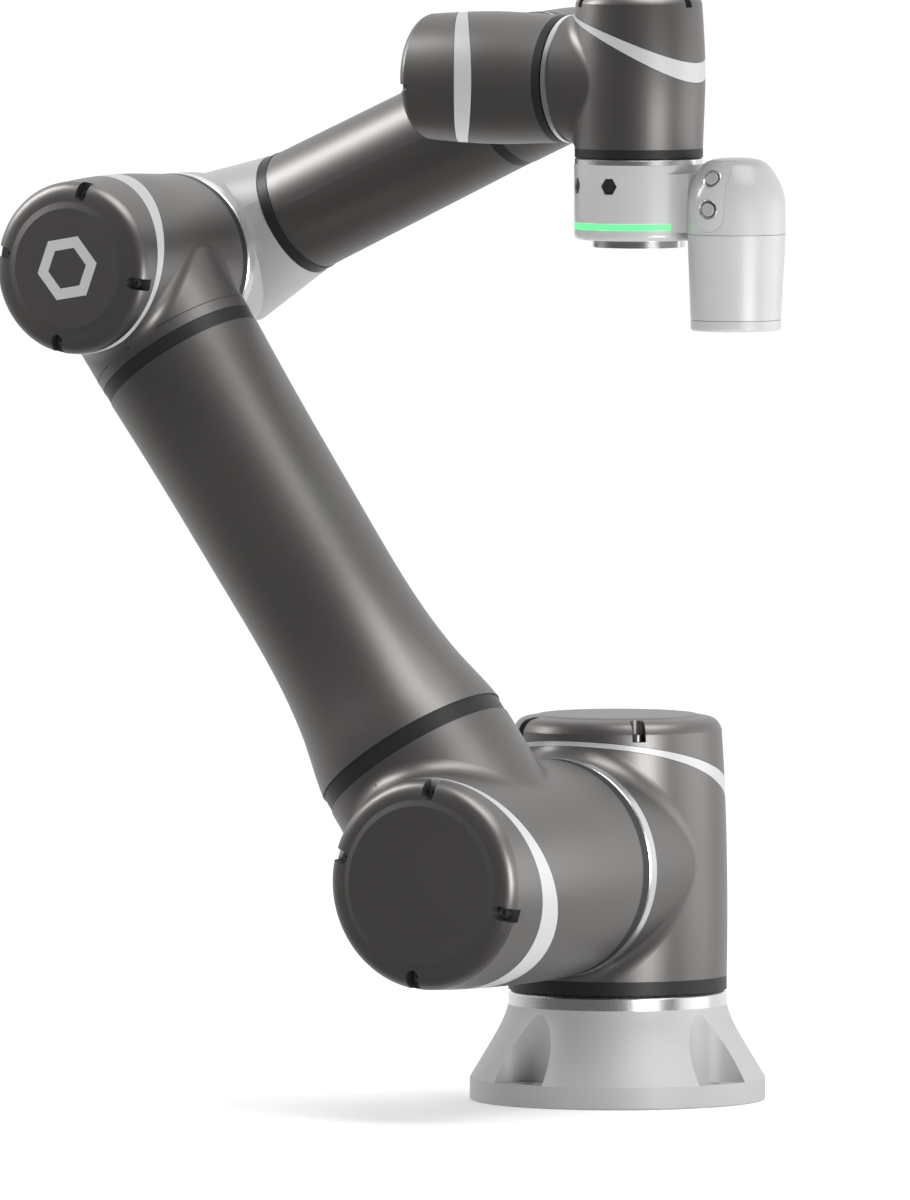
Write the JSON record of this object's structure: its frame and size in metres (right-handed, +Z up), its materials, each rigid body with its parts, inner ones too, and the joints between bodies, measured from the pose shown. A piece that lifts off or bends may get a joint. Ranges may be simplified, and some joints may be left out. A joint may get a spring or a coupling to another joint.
{
  "type": "collaborative robot arm",
  "caption": "Articulated collaborative robot arm on a flared round base, with rounded joint drums, tapered links, and a camera head beside the tool flange.",
  "frame": {"origin": "centre of the base's bolt circle on the mounting plane, on the first joint's axis", "axes": "+Z up along the first joint's axis, -Y toward the shoulder's side, +X toward the tool in the stored pose"},
  "size_m": [0.5646, 0.389, 0.7701],
  "materials": {
    "dark_paint": "satin metallic paint on cast aluminium",
    "silver_band": "satin silver",
    "seal_rubber": "matt black lip seal",
    "polished_ring": "turned and polished",
    "drive_steel": "machined",
    "screw_steel": "black oxide",
    "clamp_black": "black anodised look",
    "light_paint": "satin light grey paint on cast aluminium",
    "connector_black": "moulded",
    "tool_paint": "semi-gloss light grey paint on cast aluminium",
    "flange_metal": "machined, clear anodised",
    "light_green": "lit diffuser",
    "lens_glass": "dark coated window",
    "button_plate": "satin",
    "camera_plastic": "semi-gloss light grey",
    "button_grey": "fine texture"
  },
  "bodies": {
    "base": {"base_pedestal": "light_paint", "base_connector": "connector_black", "j1_output_ring": "polished_ring"},
    "shoulder": {"j1_housing": "dark_paint", "j1_accent_band": "silver_band", "j1_cap": "dark_paint", "j1_lip_seal": "seal_rubber", "j1_drive_unit": "drive_steel", "shoulder_cap_screws": "screw_steel", "j2_output_ring": "polished_ring"},
    "upper_arm": {"j2_housing": "dark_paint", "j2_accent_band": "silver_band", "j2_cap": "dark_paint", "j2_lip_seal": "seal_rubber", "j2_drive_unit": "drive_steel", "upper_arm_tube": "dark_paint", "upper_arm_clamp_rings": "clamp_black", "j3_housing": "dark_paint", "j3_accent_band": "silver_band", "j3_cap": "dark_paint", "j3_lip_seal": "seal_rubber", "j3_drive_unit": "drive_steel", "upper_arm_cap_screws": "screw_steel"},
    "forearm": {"j3_output_ring": "polished_ring", "forearm_elbow_casting": "light_paint", "forearm_tube": "dark_paint", "forearm_clamp_rings": "clamp_black", "j4_housing": "dark_paint", "j4_accent_band": "silver_band", "j4_cap": "dark_paint", "j4_lip_seal": "seal_rubber", "j4_drive_unit": "drive_steel", "forearm_cap_screws": "screw_steel"},
    "wrist_1": {"j4_output_ring": "polished_ring", "j5_housing": "dark_paint", "j5_accent_band": "silver_band", "j5_cap": "dark_paint", "j5_lip_seal": "seal_rubber", "j5_drive_unit": "drive_steel", "wrist_1_cap_screws": "screw_steel"},
    "wrist_2": {"j5_output_ring": "polished_ring", "j6_housing": "dark_paint", "j6_accent_band": "silver_band", "j6_cap": "dark_paint", "j6_lip_seal": "seal_rubber", "j6_drive_unit": "drive_steel", "wrist_2_cap_screws": "screw_steel"},
    "tool": {"j6_output_ring": "polished_ring", "tool_body": "tool_paint", "tool_light_ring": "light_green", "tool_flange": "flange_metal", "camera_upper_shell": "camera_plastic", "camera_lower_shell": "camera_plastic", "camera_bottom_cover": "camera_plastic", "camera_lens": "lens_glass", "camera_button_plates": "button_plate"},
    "button_front_upper": {"button_front_upper": "button_grey"},
    "button_front_lower": {"button_front_lower": "button_grey"},
    "button_rear_upper": {"button_rear_upper": "button_grey"},
    "button_rear_lower": {"button_rear_lower": "button_grey"}
  },
  "joints": [
    {"name": "j1", "type": "hinge", "parent": "base", "child": "shoulder", "pos_m": [0, 0, 0.1652], "axis": [0, 0, 1], "range_deg": [-270, 270]},
    {"name": "j2", "type": "hinge", "parent": "shoulder", "child": "upper_arm", "pos_m": [0, -0.189, 0.1652], "axis": [0, -1, 0], "range_deg": [-214.4, 145.6]},
    {"name": "j3", "type": "hinge", "parent": "upper_arm", "child": "forearm", "pos_m": [-0.28248, -0.1316, 0.57776], "axis": [0, -1, 0], "range_deg": [-38, 254.75]},
    {"name": "j4", "type": "hinge", "parent": "forearm", "child": "wrist_1", "pos_m": [0.0059, -0.1256, 0.71009], "axis": [0, 1, 0], "range_deg": [-204.65, 80]},
    {"name": "j5", "type": "hinge", "parent": "wrist_1", "child": "wrist_2", "pos_m": [0.0559, -0.1795, 0.71009], "axis": [-1, 0, 0], "range_deg": [-30, 270]},
    {"name": "j6", "type": "hinge", "parent": "wrist_2", "child": "tool", "pos_m": [0.1119, -0.1795, 0.66009], "axis": [0, 0, -1], "range_deg": [-270, 270]},
    {"name": "button_front_upper_press", "type": "slide", "parent": "tool", "child": "button_front_upper", "axis": [0, 0.8622, -0.5065], "range_m": [0, 0.0012], "stiffness_N_per_m": 400},
    {"name": "button_front_lower_press", "type": "slide", "parent": "tool", "child": "button_front_lower", "axis": [0, 0.9996, -0.0288], "range_m": [0, 0.0012], "stiffness_N_per_m": 400},
    {"name": "button_rear_upper_press", "type": "slide", "parent": "tool", "child": "button_rear_upper", "axis": [0, -0.8622, -0.5065], "range_m": [0, 0.0012], "stiffness_N_per_m": 400},
    {"name": "button_rear_lower_press", "type": "slide", "parent": "tool", "child": "button_rear_lower", "axis": [0, -0.9996, -0.0288], "range_m": [0, 0.0012], "stiffness_N_per_m": 400}
  ]
}
